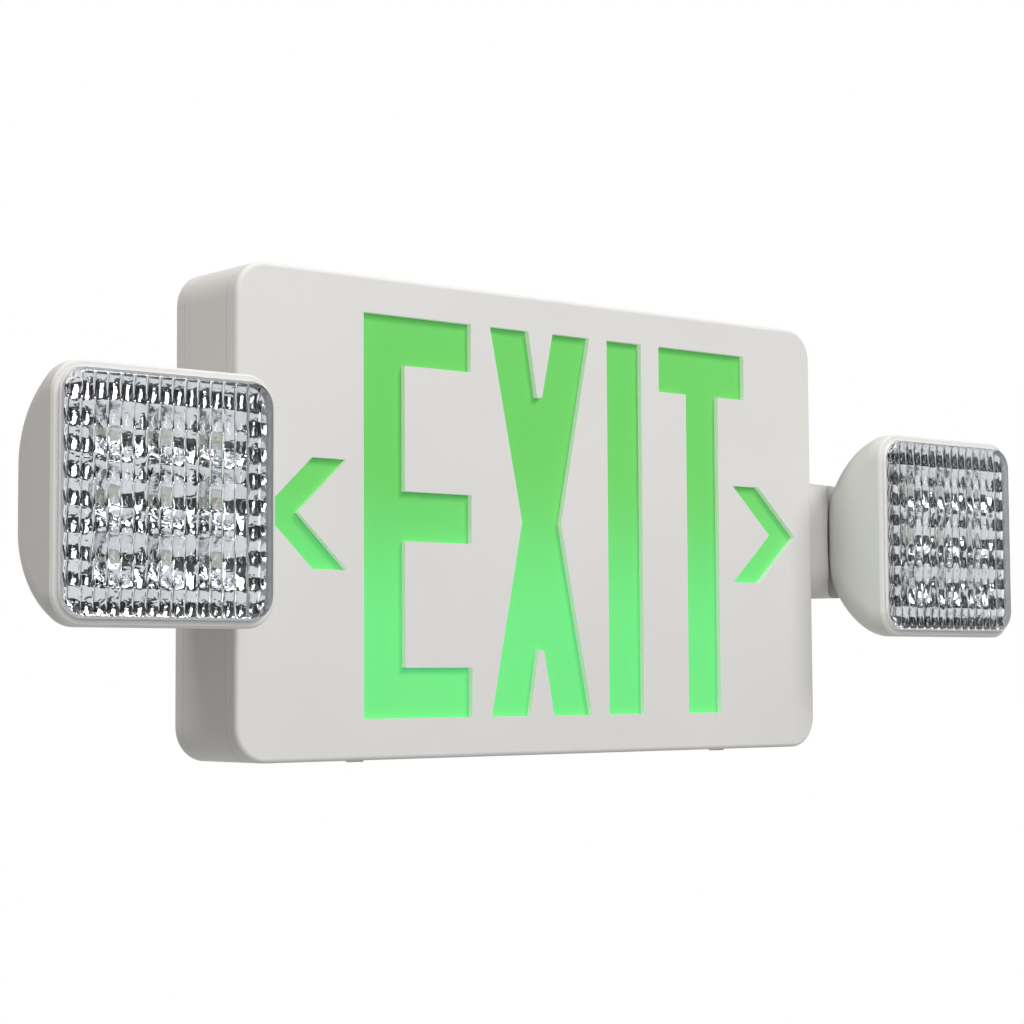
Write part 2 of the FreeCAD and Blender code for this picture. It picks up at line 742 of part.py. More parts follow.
def lamp_arm(side):
    """Tapered stub with a spigot in the housing, a cup for the head's ball and a tongue to its pin."""
    body = new_body(f"lamp_arm_{side}")
    shoulder = f"({ARM_BASE} + arm_length - arm_end_round)"
    loft(body, "AdditiveLoft", [arm_section(body, ARM_BASE, "0"), arm_section(body, shoulder, "arm_taper")])
    nose = []
    for angle in (0, 30, 60, 80):
        forward = f"{shoulder} + arm_end_round * sin({angle} deg)"
        nose.append(arm_section(body, forward, f"(arm_taper + 2 * arm_end_round * (1 - cos({angle} deg)))"))
    loft(body, "AdditiveLoft", nose)
    primitive(body, "SubtractiveEllipsoid", {
        "Radius1": "cup_tall", "Radius2": "ball_radius + cup_gap", "Radius3": "ball_radius + cup_gap",
        **at("head_place", BALL_Y, "0")})
    turn = FreeCAD.Rotation(UP, OUTWARD)
    spigot = at(f"{HOUSING_INSIDE} - spigot_length", "-arm_axis_depth", "0")
    length = f"{ARM_BASE} + wall - ({HOUSING_INSIDE} - spigot_length)"
    primitive(body, "AdditiveCylinder", {"Radius": "spigot_radius", "Height": length, **spigot}, turn)
    primitive(body, "SubtractiveCylinder", {"Radius": "wire_hole_radius", "Height": "wire_hole_length", **spigot}, turn)
    swing = FreeCAD.Rotation(UP, number("tongue_angle"))
    across = FreeCAD.Vector(0, number("-tongue_width / 2"), number("-tongue_thickness / 2"))
    tongue = primitive(body, "AdditiveBox", {
        "Length": "ball_radius + tongue_root", "Width": "tongue_width", "Height": "tongue_thickness"})
    ball = FreeCAD.Vector(number("head_place"), number(BALL_Y), 0)
    tongue.Placement = FreeCAD.Placement(ball + swing.multVec(across), swing)
    eye = at("head_place", BALL_Y, "-tongue_thickness / 2")
    primitive(body, "AdditiveCylinder", {"Radius": "eye_radius", "Height": "tongue_thickness", **eye})
    primitive(body, "SubtractiveCylinder", {"Radius": "pin_radius + pivot_gap", "Height": "tongue_thickness", **eye})
    return body


def ring(name, x, inner, outer, length):
    """A ring round the arm's spigot."""
    disc = cylinder("disc", x, "-arm_axis_depth", "0", outer, length, OUTWARD)
    bore = cylinder("bore", x, "-arm_axis_depth", "0", inner, length, OUTWARD)
    return cut(name, disc, [bore])


def arm_washer(side):
    start = f"{HOUSING_INSIDE} - slip_gap - washer_thickness"
    return ring(f"arm_washer_{side}", start, "spigot_radius + slip_gap", "nut_radius", "washer_thickness")


def arm_nut(side):
    start = f"{HOUSING_INSIDE} - 2 * slip_gap - washer_thickness - nut_thickness"
    return ring(f"arm_nut_{side}", start, "spigot_radius + pivot_gap", "nut_radius", "nut_thickness")


def rounded_square(half, corner, depth):
    """A square wire with round corners, facing the wall, centred on the head."""
    middle = FreeCAD.Vector(number("head_place"), -depth, 0)
    edges = []
    for quarter in range(4):
        turn = FreeCAD.Rotation(FORWARD, 90 * quarter)
        straight = [FreeCAD.Vector(half, 0, z) for z in (corner - half, half - corner)]
        bend = [FreeCAD.Vector(half, 0, half - corner),
                FreeCAD.Vector(half - corner * (1 - math.sqrt(0.5)), 0, half - corner * (1 - math.sqrt(0.5))),
                FreeCAD.Vector(half - corner, 0, half)]
        edges.append(Part.LineSegment(*[middle + turn.multVec(point) for point in straight]).toShape())
        edges.append(Part.Arc(*[middle + turn.multVec(point) for point in bend]).toShape())
    return Part.Wire(edges)


def square_block(half, corner, back, front):
    """A block with round corners between two depths."""
    return Part.Face(rounded_square(half, corner, back)).extrude(FORWARD * (front - back))


DOME_SECTIONS = 12
RIM_SECTIONS = 3
POLE_ANGLE = 86
DOME_POWER = 2.19
ROUNDING_POWER = 1.04
DOME_DEPTH = "(ball_radius + head_rim_forward - head_side)"


def dome_half(inset, turn):
    """Half the width of the dome at an angle from its square end towards its pole."""
    return (number("head_size / 2") - inset) * math.cos(turn) ** (2 / DOME_POWER)


def dome_turn(inset, depth):
    """The angle at which the dome reaches a depth."""
    back = max(number(f"{RIM_FRONT} - head_side") - depth, 0)
    return math.asin((back / (number(DOME_DEPTH) - inset)) ** (DOME_POWER / 2))


def dome(inset, front):
    """Solid from a square front to a round back, a wall's thickness inside the outer shape.

    The half width of the sections follows a curve a little fuller than an ellipse. Their corners grow
    from the rim's own radius until the sections near the pole are round.
    """
    side_back = number(f"{RIM_FRONT} - head_side")
    rim_half, rim_corner = number("head_size / 2") - inset, number("head_corner") - inset
    wires = []
    if front > side_back:
        for index in range(RIM_SECTIONS):
            depth = front + (side_back - front) * index / RIM_SECTIONS
            wires.append(rounded_square(rim_half, rim_corner, depth))
    first = dome_turn(inset, front)
    step = (math.radians(POLE_ANGLE) - first) / (DOME_SECTIONS - 1)
    for index in range(DOME_SECTIONS):
        turn = first + step * index
        half = dome_half(inset, turn)
        along = math.sin(turn) ** (2 / DOME_POWER)
        corner = rim_corner + (half - rim_corner) * along ** ROUNDING_POWER
        depth = side_back - (number(DOME_DEPTH) - inset) * along
        wires.append(rounded_square(half, min(corner, half - number("dome_flat")), depth))
    return Part.makeLoft(wires, True, False)


def bevelled_front(shape, front):
    """Take a small bevel off the rim's front edge."""
    edge, half, corner = number("head_rim_edge"), number("head_size / 2"), number("head_corner")
    large = rounded_square(half + edge, corner + edge, front - 2 * edge)
    small = rounded_square(half - edge, corner - edge, front)
    outside = square_block(half + 2 * edge, corner + 2 * edge, front - edge, front + edge)
    return shape.cut(outside.cut(Part.makeLoft([large, small], True, True)))


def lamp_shell(side):
    """Moulded head: square rim, round back, ledge for the optics, pin saddles and tongue slot.

    The blend from square to round has no PartDesign or Part feature of its own, so the shape is made
    here from the sheet's sizes.
    """
    place_x, ball_depth = number("head_place"), number("head_ball_depth")
    rim_front, ledge_front = number(RIM_FRONT), number(LEDGE_FRONT)
    ledge_back = number(f"{LEDGE_FRONT} - ledge_thickness")
    wall = number("head_wall")
    shape = bevelled_front(dome(0, rim_front), rim_front).cut(dome(wall, ledge_back))
    opening = number("ledge_opening / 2")
    shape = shape.cut(square_block(opening, number(WINDOW_CORNER), ledge_back - wall, rim_front))
    shape = shape.cut(square_block(number(f"{WINDOW} / 2"), number(WINDOW_CORNER), ledge_front, rim_front))
    reach = dome_half(wall / 2, dome_turn(wall / 2, ball_depth))
    gap = number("tongue_thickness / 2 + fit_gap")
    radius, pin = number("eye_radius"), number("pin_radius + pivot_gap")
    middle = FreeCAD.Vector(place_x, -ball_depth, 0)
    saddle_end = number("pin_length / 2 + slip_gap")
    for way in (1, -1):
        column = Part.makeCylinder(radius, reach - gap, middle + UP * (way * gap), UP * way)
        groove = Part.makeCylinder(pin, saddle_end - gap, middle + UP * (way * gap), UP * way)
        low = min(way * gap, way * saddle_end)
        corner = middle + FreeCAD.Vector(-pin, -radius, low)
        mouth = Part.makeBox(2 * pin, radius, saddle_end - gap, corner)
        shape = shape.fuse(column).cut(groove.fuse(mouth))
    half_width = number("tongue_width / 2 + slot_gap")
    margin = math.degrees(math.asin(half_width / number("ball_radius - head_wall")))
    height = number("tongue_thickness + 2 * slot_gap")
    base = middle - UP * (height / 2)
    sweep = number("pan_out_angle + pan_in_angle") + 2 * margin
    sector = Part.makeCylinder(2 * number("ball_radius"), height, base, UP, sweep)
    sector = sector.cut(Part.makeCylinder(number("ball_radius / 2"), height, base, UP))
    sector.rotate(middle, UP, number("tongue_angle - pan_out_angle") - margin)
    shape = shape.cut(sector)
    item = doc.addObject("Part::Feature", f"lamp_shell_{side}")
    item.Shape = shape
    return item


def pivot_pin(side):
    """Upright steel pin through the tongue's eye, held in the shell's saddles."""
    pin = cylinder("pin", "head_place", BALL_Y, "-pin_length / 2", "pin_radius", "pin_length")
    return group(f"pivot_pin_{side}", [pin])


def pin_keeper(side):
    """Flat bar across the saddles that keeps the pin in."""
    corner = "head_place - eye_radius", f"{BALL_Y} - eye_radius - slip_gap - keeper_thickness", "-keeper_length / 2"
    bar = box("bar", *corner, "2 * eye_radius", "keeper_thickness", "keeper_length")
    return group(f"pin_keeper_{side}", [bar])


def head_block(body, depth, width, corner, length):
    """A square pad with round corners, centred on the head."""
    section = sketch_on(body, "XZ_Plane", depth)
    rounded_rectangle(section, width, width, corner)
    bind(section, {"AttachmentOffset.Base.x": "head_place"})
    return section, pad(body, section, length)


def lamp_board(side):
    """Circuit board behind the reflector, in the opening of the shell's ledge."""
    body = new_body(f"lamp_board_{side}")
    back = f"{LEDGE_FRONT} - board_thickness"
    head_block(body, back, "ledge_opening - 2 * fit_gap", WINDOW_CORNER, "board_thickness")
    return body


def cup_places():
    """Centres of the three by three optics, as x and z formulas."""
    steps = (-1, 0, 1)
    return [(f"(head_place + {column} * cup_pitch)", f"({row} * cup_pitch)") for row in steps for column in steps]


def lamp_leds(side):
    """One light in the middle of each cup."""
    lights = []
    half = "lamp_led_size / 2"
    for x, z in cup_places():
        package = box("package", f"{x} - {half}", f"-{LEDGE_FRONT} - lamp_led_height", f"{z} - {half}",
                      "lamp_led_size", "lamp_led_height", "lamp_led_size")
        bead = sphere("bead", x, f"-{LEDGE_FRONT} - lamp_led_height / 2", z, "lamp_led_dome")
        rear = box("rear", f"{x} - {half}", f"-{LEDGE_FRONT}", f"{z} - {half}",
                   "lamp_led_size", "lamp_led_size", "lamp_led_size")
        lights.append(cut("light", fuse("light_body", [package, bead]), [rear]))
    return group(f"lamp_leds_{side}", lights)


def lamp_reflector(side):
    """Plated block with nine round cups that are open at the bottom for the lights.

    Each cup is part of a ball whose centre lies in front of the block, so that the cup is as wide as
    stated at its mouth and at its bottom.
    """
    body = new_body(f"lamp_reflector_{side}")
    head_block(body, LEDGE_FRONT, "reflector_size", "head_corner - head_rim - lens_wall", "reflector_depth")
    lead = "((cup_radius ^ 2 - cup_bottom_radius ^ 2 - reflector_depth ^ 2) / (2 * reflector_depth))"
    for x, z in cup_places():
        centre = at(x, f"-{LEDGE_FRONT} - reflector_depth - {lead}", z)
        primitive(body, "SubtractiveSphere", {"Radius": f"sqrt(cup_radius ^ 2 + {lead} ^ 2)", **centre})
    return body


def lens_gasket(side):
    """Flat ring between the lens and the shell's ledge."""
    body = new_body(f"lens_gasket_{side}")
    outer = f"{WINDOW} - 2 * fit_gap"
    head_block(body, LEDGE_FRONT, outer, WINDOW_CORNER, "gasket_thickness")
    section = sketch_on(body, "XZ_Plane", LEDGE_FRONT)
    inner = f"{outer} - 2 * lens_wall"
    rounded_rectangle(section, inner, inner, f"{WINDOW_CORNER} - lens_wall")
    bind(section, {"AttachmentOffset.Base.x": "head_place"})
    pocket(body, section, "gasket_thickness", reverse=True)
    return body


def lamp_lens(side):
    """Clear shallow pan, proud of the rim and rounded at its front edge, with upright flutes inside."""
    body = new_body(f"lamp_lens_{side}")
    back = f"({LEDGE_FRONT} + gasket_thickness)"
    outer = f"({WINDOW} - 2 * slip_gap)"
    section, block = head_block(body, back, outer, WINDOW_CORNER, f"{LENS_FRONT} - {back}")
    fillet(body, block, "lens_edge", edge_at_depth(number(LENS_FRONT)))
    inside = sketch_on(body, "XZ_Plane", back)
    inner = f"{outer} - 2 * lens_wall"
    rounded_rectangle(inside, inner, inner, f"{WINDOW_CORNER} - lens_wall")
    bind(inside, {"AttachmentOffset.Base.x": "head_place"})
    pocket(body, inside, f"{LENS_FRONT} - {back} - lens_face", reverse=True)
    first = "head_place - flute_pitch * (flute_count - 1) / 2"
    axis_depth = f"{LENS_FRONT} - lens_face + flute_radius - flute_height"
    flute = primitive(body, "AdditiveCylinder", {
        "Radius": "flute_radius", "Height": inner, **at(first, f"-({axis_depth})", f"-({inner}) / 2")})
    row_of(body, flute, "flute_pitch", "flute_count")
    return body


SIGN_PIECES = [
    face_plate, housing, back_plate, housing_screws, sign_diffuser, reflector_tray, sign_led_board, sign_leds,
    charger_board, transformer, capacitors, terminal_block, battery_pack, battery_strap,
    test_button, test_switch, status_lens,
]
HEAD_PIECES = [
    lamp_arm, arm_washer, arm_nut, lamp_shell, pivot_pin, pin_keeper, lamp_board, lamp_leds,
    lamp_reflector, lens_gasket, lamp_lens,
]

pieces = [make() for make in SIGN_PIECES]
for side, turn in (("right", 0), ("left", 180)):
    for make in HEAD_PIECES:
        piece = make(side)
        own = piece.Placement
        piece.Placement = FreeCAD.Placement(ORIGIN, FreeCAD.Rotation(FORWARD, turn)).multiply(own)
        pieces.append(piece)
doc.recompute()

for item in doc.Objects:
    if "Invalid" in item.State or "Error" in item.State:
        raise RuntimeError(f"{item.Label} could not be built")
for piece in pieces:
    if piece.Shape.isNull() or not piece.Shape.isValid():
        raise RuntimeError(f"{piece.Label} has no valid shape")

os.makedirs("parts", exist_ok=True)
for piece in pieces:
    piece.Shape.exportStep(os.path.join("parts", piece.Label + ".step"))
print(len(pieces), "pieces written")
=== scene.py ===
# %% [markdown]
# # An emergency exit light, dressed for rendering
# The structure comes from the solid model: a shallow box on the wall, with a lamp head on an arm at
# each end. This script loads that model as a fixed frame and gives it its looks: the cut-out face,
# the plastics, the plated reflectors and the clear ribbed lenses. Everything is in metres, with +X
# along the sign, -Y out of the wall and +Z up.

import json
import math

import bmesh
import bpy
from mathutils import Matrix, Vector


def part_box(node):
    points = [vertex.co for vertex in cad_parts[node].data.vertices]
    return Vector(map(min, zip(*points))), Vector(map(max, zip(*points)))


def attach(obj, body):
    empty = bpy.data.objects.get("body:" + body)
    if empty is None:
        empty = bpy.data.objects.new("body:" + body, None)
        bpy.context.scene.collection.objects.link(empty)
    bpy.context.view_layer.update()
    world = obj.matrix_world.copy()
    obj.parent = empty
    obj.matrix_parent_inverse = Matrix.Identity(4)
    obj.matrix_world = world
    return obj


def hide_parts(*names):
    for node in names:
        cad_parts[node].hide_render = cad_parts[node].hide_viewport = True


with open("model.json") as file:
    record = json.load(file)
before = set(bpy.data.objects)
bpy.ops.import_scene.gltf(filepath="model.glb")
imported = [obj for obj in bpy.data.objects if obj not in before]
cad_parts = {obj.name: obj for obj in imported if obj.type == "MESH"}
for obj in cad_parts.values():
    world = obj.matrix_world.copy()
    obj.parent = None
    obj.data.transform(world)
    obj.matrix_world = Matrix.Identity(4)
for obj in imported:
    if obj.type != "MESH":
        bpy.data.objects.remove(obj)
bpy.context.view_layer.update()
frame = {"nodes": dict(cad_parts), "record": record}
nodes = frame["nodes"]
MM = 0.001


# %% [markdown]
# ## Camera
# The sign is seen from below and from its left, by a long lens close to the left-hand lamp, so that
# lamp looks almost twice as large as the other. A camera is placed by the three directions that it
# calls right, up and back, which are the columns of its matrix.

# %% Camera
LENS_MM = 83.66
CAMERA_PLACE = Vector((-0.62151, -0.75328, -0.06193))
RIGHT = Vector((0.76551, -0.64339, -0.00588))
DOWN = Vector((0.04108, 0.05800, -0.99747))
AHEAD = Vector((0.64211, 0.76333, 0.07083))


def add_object(name, data):
    """Put an object with some data into the scene."""
    item = bpy.data.objects.new(name, data)
    bpy.context.scene.collection.objects.link(item)
    return item


camera = add_object("camera", bpy.data.cameras.new("camera"))
camera.data.lens = LENS_MM
camera.data.sensor_width = 36
camera.data.clip_start = 0.01
turned = Matrix((RIGHT, -DOWN, -AHEAD)).transposed()
camera.matrix_world = Matrix.Translation(CAMERA_PLACE) @ turned.to_4x4()
bpy.context.scene.camera = camera
print("camera at", tuple(CAMERA_PLACE))


# %% [markdown]
# ## Finishes
# The real thing is mostly one off-white moulded plastic. It isn't quite flat: the mould leaves a fine
# grain, and the colour wanders by a percent or two. One function makes such a plastic, from a fine
# noise for the grain's bump and a large soft one for the colour, both on Object coordinates, so that
# the pattern stays put on the piece from every side.

# %% Moulded plastics
def new_material(name):
    """A material with its node tree, ready to be wired."""
    material = bpy.data.materials.new(name)
    material.use_nodes = True
    tree = material.node_tree
    return material, tree, tree.nodes["Principled BSDF"]


def noise(tree, scale, detail=3.0):
    """A noise texture on Object coordinates, so that it stays put on its piece."""
    place = tree.nodes.new("ShaderNodeTexCoord")
    texture = tree.nodes.new("ShaderNodeTexNoise")
    texture.inputs["Scale"].default_value = scale
    texture.inputs["Detail"].default_value = detail
    tree.links.new(place.outputs["Object"], texture.inputs["Vector"])
    return texture.outputs["Fac"]


def bump(tree, shader, height, strength, distance):
    """Raise the surface by a height texture."""
    node = tree.nodes.new("ShaderNodeBump")
    node.inputs["Strength"].default_value = strength
    node.inputs["Distance"].default_value = distance
    tree.links.new(height, node.inputs["Height"])
    tree.links.new(node.outputs["Normal"], shader.inputs["Normal"])


def mottle(tree, shader, factor, low, high):
    """Let the base colour wander between two colours by a texture."""
    ramp = tree.nodes.new("ShaderNodeValToRGB")
    ramp.color_ramp.elements[0].position = 0.3
    ramp.color_ramp.elements[1].position = 0.7
    ramp.color_ramp.elements[0].color = (*low, 1)
    ramp.color_ramp.elements[1].color = (*high, 1)
    tree.links.new(factor, ramp.inputs["Fac"])
    tree.links.new(ramp.outputs["Color"], shader.inputs["Base Color"])


GRAIN_SCALE = 1100
GRAIN_DEPTH = 0.12 * MM


def moulded(name, colour, roughness, grain=0.15, wander=0.02, metallic=0.0, glow=0.0):
    """A plain moulded or coated finish with fine grain, a slight wander of colour and an optional glow,
    which is painted light.
    """
    material, tree, shader = new_material(name)
    shader.inputs["Roughness"].default_value = roughness
    shader.inputs["Metallic"].default_value = metallic
    shader.inputs["Emission Color"].default_value = (*colour, 1)
    shader.inputs["Emission Strength"].default_value = glow
    low = [channel * (1 - wander) for channel in colour]
    high = [min(channel * (1 + wander), 1) for channel in colour]
    mottle(tree, shader, noise(tree, 14), low, high)
    bump(tree, shader, noise(tree, GRAIN_SCALE), grain, GRAIN_DEPTH)
    return material


case_plastic = moulded("case_plastic", (0.71, 0.702, 0.688), 0.6)
# Pale green with a glow of its own: painted light and a painted highlight on the walls and edges of the
# cut-outs.
painted_glow_edge = moulded("painted_glow_edge", (0.68, 0.78, 0.65), 0.5, glow=0.22)
print("finish", case_plastic.name)


# %% [markdown]
# The pieces inside have their own finishes: circuit board, steel, sleeved cells, black switch, red
# button. They show only through gaps or with the cover off, but each gets its own grain as well.

# %% Finishes of the inner pieces
finishes = {
    "white_plastic": case_plastic,
    "white_tray": moulded("white_tray", (0.86, 0.86, 0.85), 0.3, 0.05),
    "board_green": moulded("circuit_board", (0.03, 0.14, 0.05), 0.35, 0.3, 0.1),
    "board_white": moulded("white_circuit_board", (0.8, 0.8, 0.78), 0.4, 0.2),
    # The light packages get a faint glow: painted light, which brightens them inside the shaded cups and
    # puts a white-yellow sparkle in the cups' mirrors.
    "led_white": moulded("light_package", (0.78, 0.76, 0.66), 0.25, 0.05, 0.05, glow=0.08),
    "winding": moulded("taped_winding", (0.08, 0.075, 0.07), 0.5, 0.5, 0.2),
    "can": moulded("can_sleeve", (0.04, 0.05, 0.08), 0.3, 0.1, 0.1),
    "terminal": moulded("terminal_housing", (0.02, 0.12, 0.05), 0.45, 0.2, 0.05),
    "cell_sleeve": moulded("cell_sleeve", (0.03, 0.1, 0.26), 0.28, 0.15, 0.08),
    "black_plastic": moulded("black_plastic", (0.012, 0.012, 0.013), 0.4, 0.3, 0.1),
    "red_button": moulded("red_button", (0.5, 0.02, 0.015), 0.3, 0.1, 0.03),
    "clear_pipe": moulded("light_pipe", (0.75, 0.8, 0.77), 0.15, 0.02, 0.02),
    "nut_plastic": moulded("nylon_nut", (0.6, 0.6, 0.57), 0.5, 0.2, 0.03),
    "gasket": moulded("foam_gasket", (0.62, 0.62, 0.61), 0.85, 0.6, 0.1),
    "steel": moulded("zinc_plate", (0.55, 0.56, 0.58), 0.32, 0.2, 0.08, metallic=1.0),
}
print("inner finishes", len(finishes))


# %% [markdown]
# The green sheet behind the cut-outs is a translucent plastic that spreads the light of the strip
# below it, so it is a little brighter near its lower edge. A gradient on the height gives a weak glow
# of its own on top of a saturated base colour.

# %% Green panel
def green_sheet():
    """Translucent green plastic that glows more towards its lower edge."""
    material, tree, shader = new_material("green_sheet")
    shader.inputs["Roughness"].default_value = 0.35
    mottle(tree, shader, noise(tree, 9), (0.155, 0.62, 0.115), (0.175, 0.67, 0.135))
    place = tree.nodes.new("ShaderNodeTexCoord")
    split = tree.nodes.new("ShaderNodeSeparateXYZ")
    glow = tree.nodes.new("ShaderNodeMapRange")
    low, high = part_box("sign_diffuser")
    glow.interpolation_type = "SMOOTHSTEP"
    glow.inputs["From Min"].default_value = 0.5 * low.z
    glow.inputs["From Max"].default_value = 0.3 * high.z
    glow.inputs["To Min"].default_value = 0.36
    glow.inputs["To Max"].default_value = 0.05
    shader.inputs["Emission Color"].default_value = (0.02, 0.64, 0.32, 1)
    tree.links.new(place.outputs["Object"], split.inputs["Vector"])
    tree.links.new(split.outputs["Z"], glow.inputs["Value"])
    tree.links.new(glow.outputs["Result"], shader.inputs["Emission Strength"])
    bump(tree, shader, noise(tree, 1500, 2.0), 0.1, 0.05 * MM)
    return material


finishes["green_panel"] = green_sheet()
print("finish", finishes["green_panel"].name)


# %% [markdown]
# The reflector is plastic with a mirror of vapour-deposited metal, which is never quite even: faint
# waves from the moulding bend its reflections. The lens is clear plastic, so it is a glass-like shader
# with a plastic's lower index. The lens's edge is ground, so it is a frosted variant, and it has a faint
# glow of its own: painted light for the light that the cups send into it.

# %% Plated and clear finishes
def plated(name):
    """A mirror of thin metal on plastic, with faint waves."""
    material, tree, shader = new_material(name)
    shader.inputs["Metallic"].default_value = 1.0
    shader.inputs["Roughness"].default_value = 0.06
    mottle(tree, shader, noise(tree, 30), (0.70, 0.71, 0.73), (0.80, 0.81, 0.83))
    bump(tree, shader, noise(tree, 330, 2.0), 0.4, 0.8 * MM)
    return material


def clear_plastic(name):
    """Polished clear plastic that bends light less than glass does."""
    material, tree, shader = new_material(name)
    shader.inputs["Transmission Weight"].default_value = 1.0
    shader.inputs["IOR"].default_value = 1.5
    shader.inputs["Roughness"].default_value = 0.02
    mottle(tree, shader, noise(tree, 20), (0.93, 0.945, 0.96), (0.97, 0.98, 0.99))
    bump(tree, shader, noise(tree, 90, 1.0), 0.05, 0.3 * MM)
    return material


def frosted_with_painted_glow(name):
    """Clear plastic with a ground surface, as on the edge of a lens, and a faint glow that is painted
    light.
    """
    material, tree, shader = new_material(name)
    shader.inputs["Transmission Weight"].default_value = 0.1
    # The faint glow of the edge is painted light.
    shader.inputs["Emission Color"].default_value = (0.9, 0.93, 0.97, 1)
    shader.inputs["Emission Strength"].default_value = 0.06
    shader.inputs["IOR"].default_value = 1.5
    shader.inputs["Roughness"].default_value = 0.3
    mottle(tree, shader, noise(tree, 20), (0.90, 0.905, 0.91), (0.94, 0.945, 0.95))
    bump(tree, shader, noise(tree, 2000, 2.0), 0.1, 0.05 * MM)
    return material


finishes["chrome"] = plated("plated_reflector")
finishes["clear_lens"] = clear_plastic("clear_lens")
finishes["lens_edge"] = frosted_with_painted_glow("lens_edge")
print("finishes", len(finishes))


# %% [markdown]
# The frame's solids arrive bare. Each one is listed in the record with the slot of its finish, so one
# loop dresses them all, the hidden ones too, and no solid is left out by mistake.

# %% Give every solid of the frame its finish
for part in frame["record"]["subparts"]:
    mesh = nodes[part["node"]].data
    mesh.materials.clear()
    mesh.materials.append(finishes[part["material_slot"]])


# %% [markdown]
# ## Making pieces
# A piece starts as a bmesh, gets its shape from operators, and ends as an object at the origin that
# rides on one body of the frame. So its place is in its mesh, and the frame can turn it with its body.

# %% Turn a bmesh into a piece
def to_mesh(name, shape):
    """Turn a bmesh into a mesh, and free the bmesh."""
    mesh = bpy.data.meshes.new(name)
    shape.to_mesh(mesh)
    shape.free()
    return mesh


def make_piece(name, shape, material, body, replaces=()):
    """Turn a bmesh into an object that rides on a body and stands for CAD nodes."""
    piece = add_object(name, to_mesh(name, shape))
    piece.data.materials.append(material)
    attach(piece, body)
    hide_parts(*replaces)
    return piece


def apply_modifiers(piece):
    """Bake the modifiers of a piece into its mesh."""
    graph = bpy.context.evaluated_depsgraph_get()
    finished = bpy.data.meshes.new_from_object(piece.evaluated_get(graph))
    piece.modifiers.clear()
    piece.data = finished


def shade(piece, sharp_degrees, weighted=False):
    """Smooth shading that keeps edges sharper than an angle, and large faces flat if weighted."""
    mesh = piece.data
    mesh.shade_smooth()
    mesh.set_sharp_from_angle(angle=math.radians(sharp_degrees))
    if weighted:
        normals = piece.modifiers.new("weighted", "WEIGHTED_NORMAL")
        normals.keep_sharp = True
        normals.weight = 100
        apply_modifiers(piece)


print("ready to make pieces")


# %% [markdown]
# ## The cut-out face
# The cover is a shallow tray with the word and two chevrons cut right through it. Its corners and front
# edge are rounded first, on a plain block, because a bevel is simple while there are few edges. Then
# insets and extrusions of the back face hollow it and leave the locating lip.

# %% Cover of the sign
face_low, face_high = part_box("face_plate")
housing_low, housing_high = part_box("housing")
NEAR = 1e-6
SIGN_CORNER = 13 * MM
FRONT_ROUND = 1.8 * MM
COVER_DEPTH = 6.4 * MM
COVER_SHEET = 2.4 * MM
LIP_STEP = 2.7 * MM
LIP_WALL = 1.2 * MM
LIP_DEPTH = 2.8 * MM
front = face_low.y
seam = front + COVER_DEPTH


def block(low, high):
    """A box between two corners."""
    shape = bmesh.new()
    bmesh.ops.create_cube(shape, size=1)
    bmesh.ops.scale(shape, vec=high - low, verts=shape.verts)
    bmesh.ops.translate(shape, vec=(high + low) / 2, verts=shape.verts)
    return shape


def edges_along(shape, axis):
    """The edges that run along an axis, 0 for X, 1 for Y and 2 for Z."""
    def runs(edge):
        step = edge.verts[1].co - edge.verts[0].co
        return abs(step[axis]) > 0.999 * step.length
    return [edge for edge in shape.edges if runs(edge)]


def at_depth(element, depth):
    """Whether an edge or a face lies in one plane parallel to the wall."""
    return all(abs(vert.co.y - depth) < NEAR for vert in element.verts)


def edges_at(shape, depth):
    """The edges that lie in one plane parallel to the wall."""
    return [edge for edge in shape.edges if at_depth(edge, depth)]


def face_at(shape, depth):
    """The largest face in one plane parallel to the wall."""
    found = [face for face in shape.faces if at_depth(face, depth)]
    return max(found, key=lambda face: face.calc_area())


def round_edges(shape, edges, radius, segments):
    """Round edges to a radius."""
    bmesh.ops.bevel(shape, geom=edges, offset=radius, segments=segments, profile=0.5,
                    affect="EDGES", material=-1, clamp_overlap=True)


def new_of(kind, made):
    """The points, edges or faces among what an operator made."""
    return [item for item in made["geom"] if isinstance(item, kind)]


def push_in(shape, face, inset, travel):
    """Inset a face, extrude what is left along Y, and return the face at its end."""
    bmesh.ops.inset_region(shape, faces=[face], thickness=inset, use_even_offset=True)
    made = bmesh.ops.extrude_face_region(shape, geom=[face])
    bmesh.ops.delete(shape, geom=[face], context="FACES_ONLY")
    bmesh.ops.translate(shape, vec=Vector((0, travel, 0)), verts=new_of(bmesh.types.BMVert, made))
    return new_of(bmesh.types.BMFace, made)[0]


cover = block(Vector((face_low.x, front, housing_low.z)),
              Vector((face_high.x, seam, housing_high.z)))
round_edges(cover, edges_along(cover, 1), SIGN_CORNER, 12)
round_edges(cover, edges_at(cover, front), FRONT_ROUND, 5)
lip = push_in(cover, face_at(cover, seam), LIP_STEP, LIP_DEPTH)
push_in(cover, lip, LIP_WALL, COVER_SHEET + front - seam - LIP_DEPTH)
bmesh.ops.recalc_face_normals(cover, faces=cover.faces)
print("cover faces", len(cover.faces))


# %% [markdown]
# The letters are the generic ones of every such sign: plain strokes about a fifth of their height. Each
# outline is a handful of corners, so it is simplest to make a face from them, thicken it, and let a
# Boolean take it out of the cover. Heights come from the sign's middle, in millimetres.

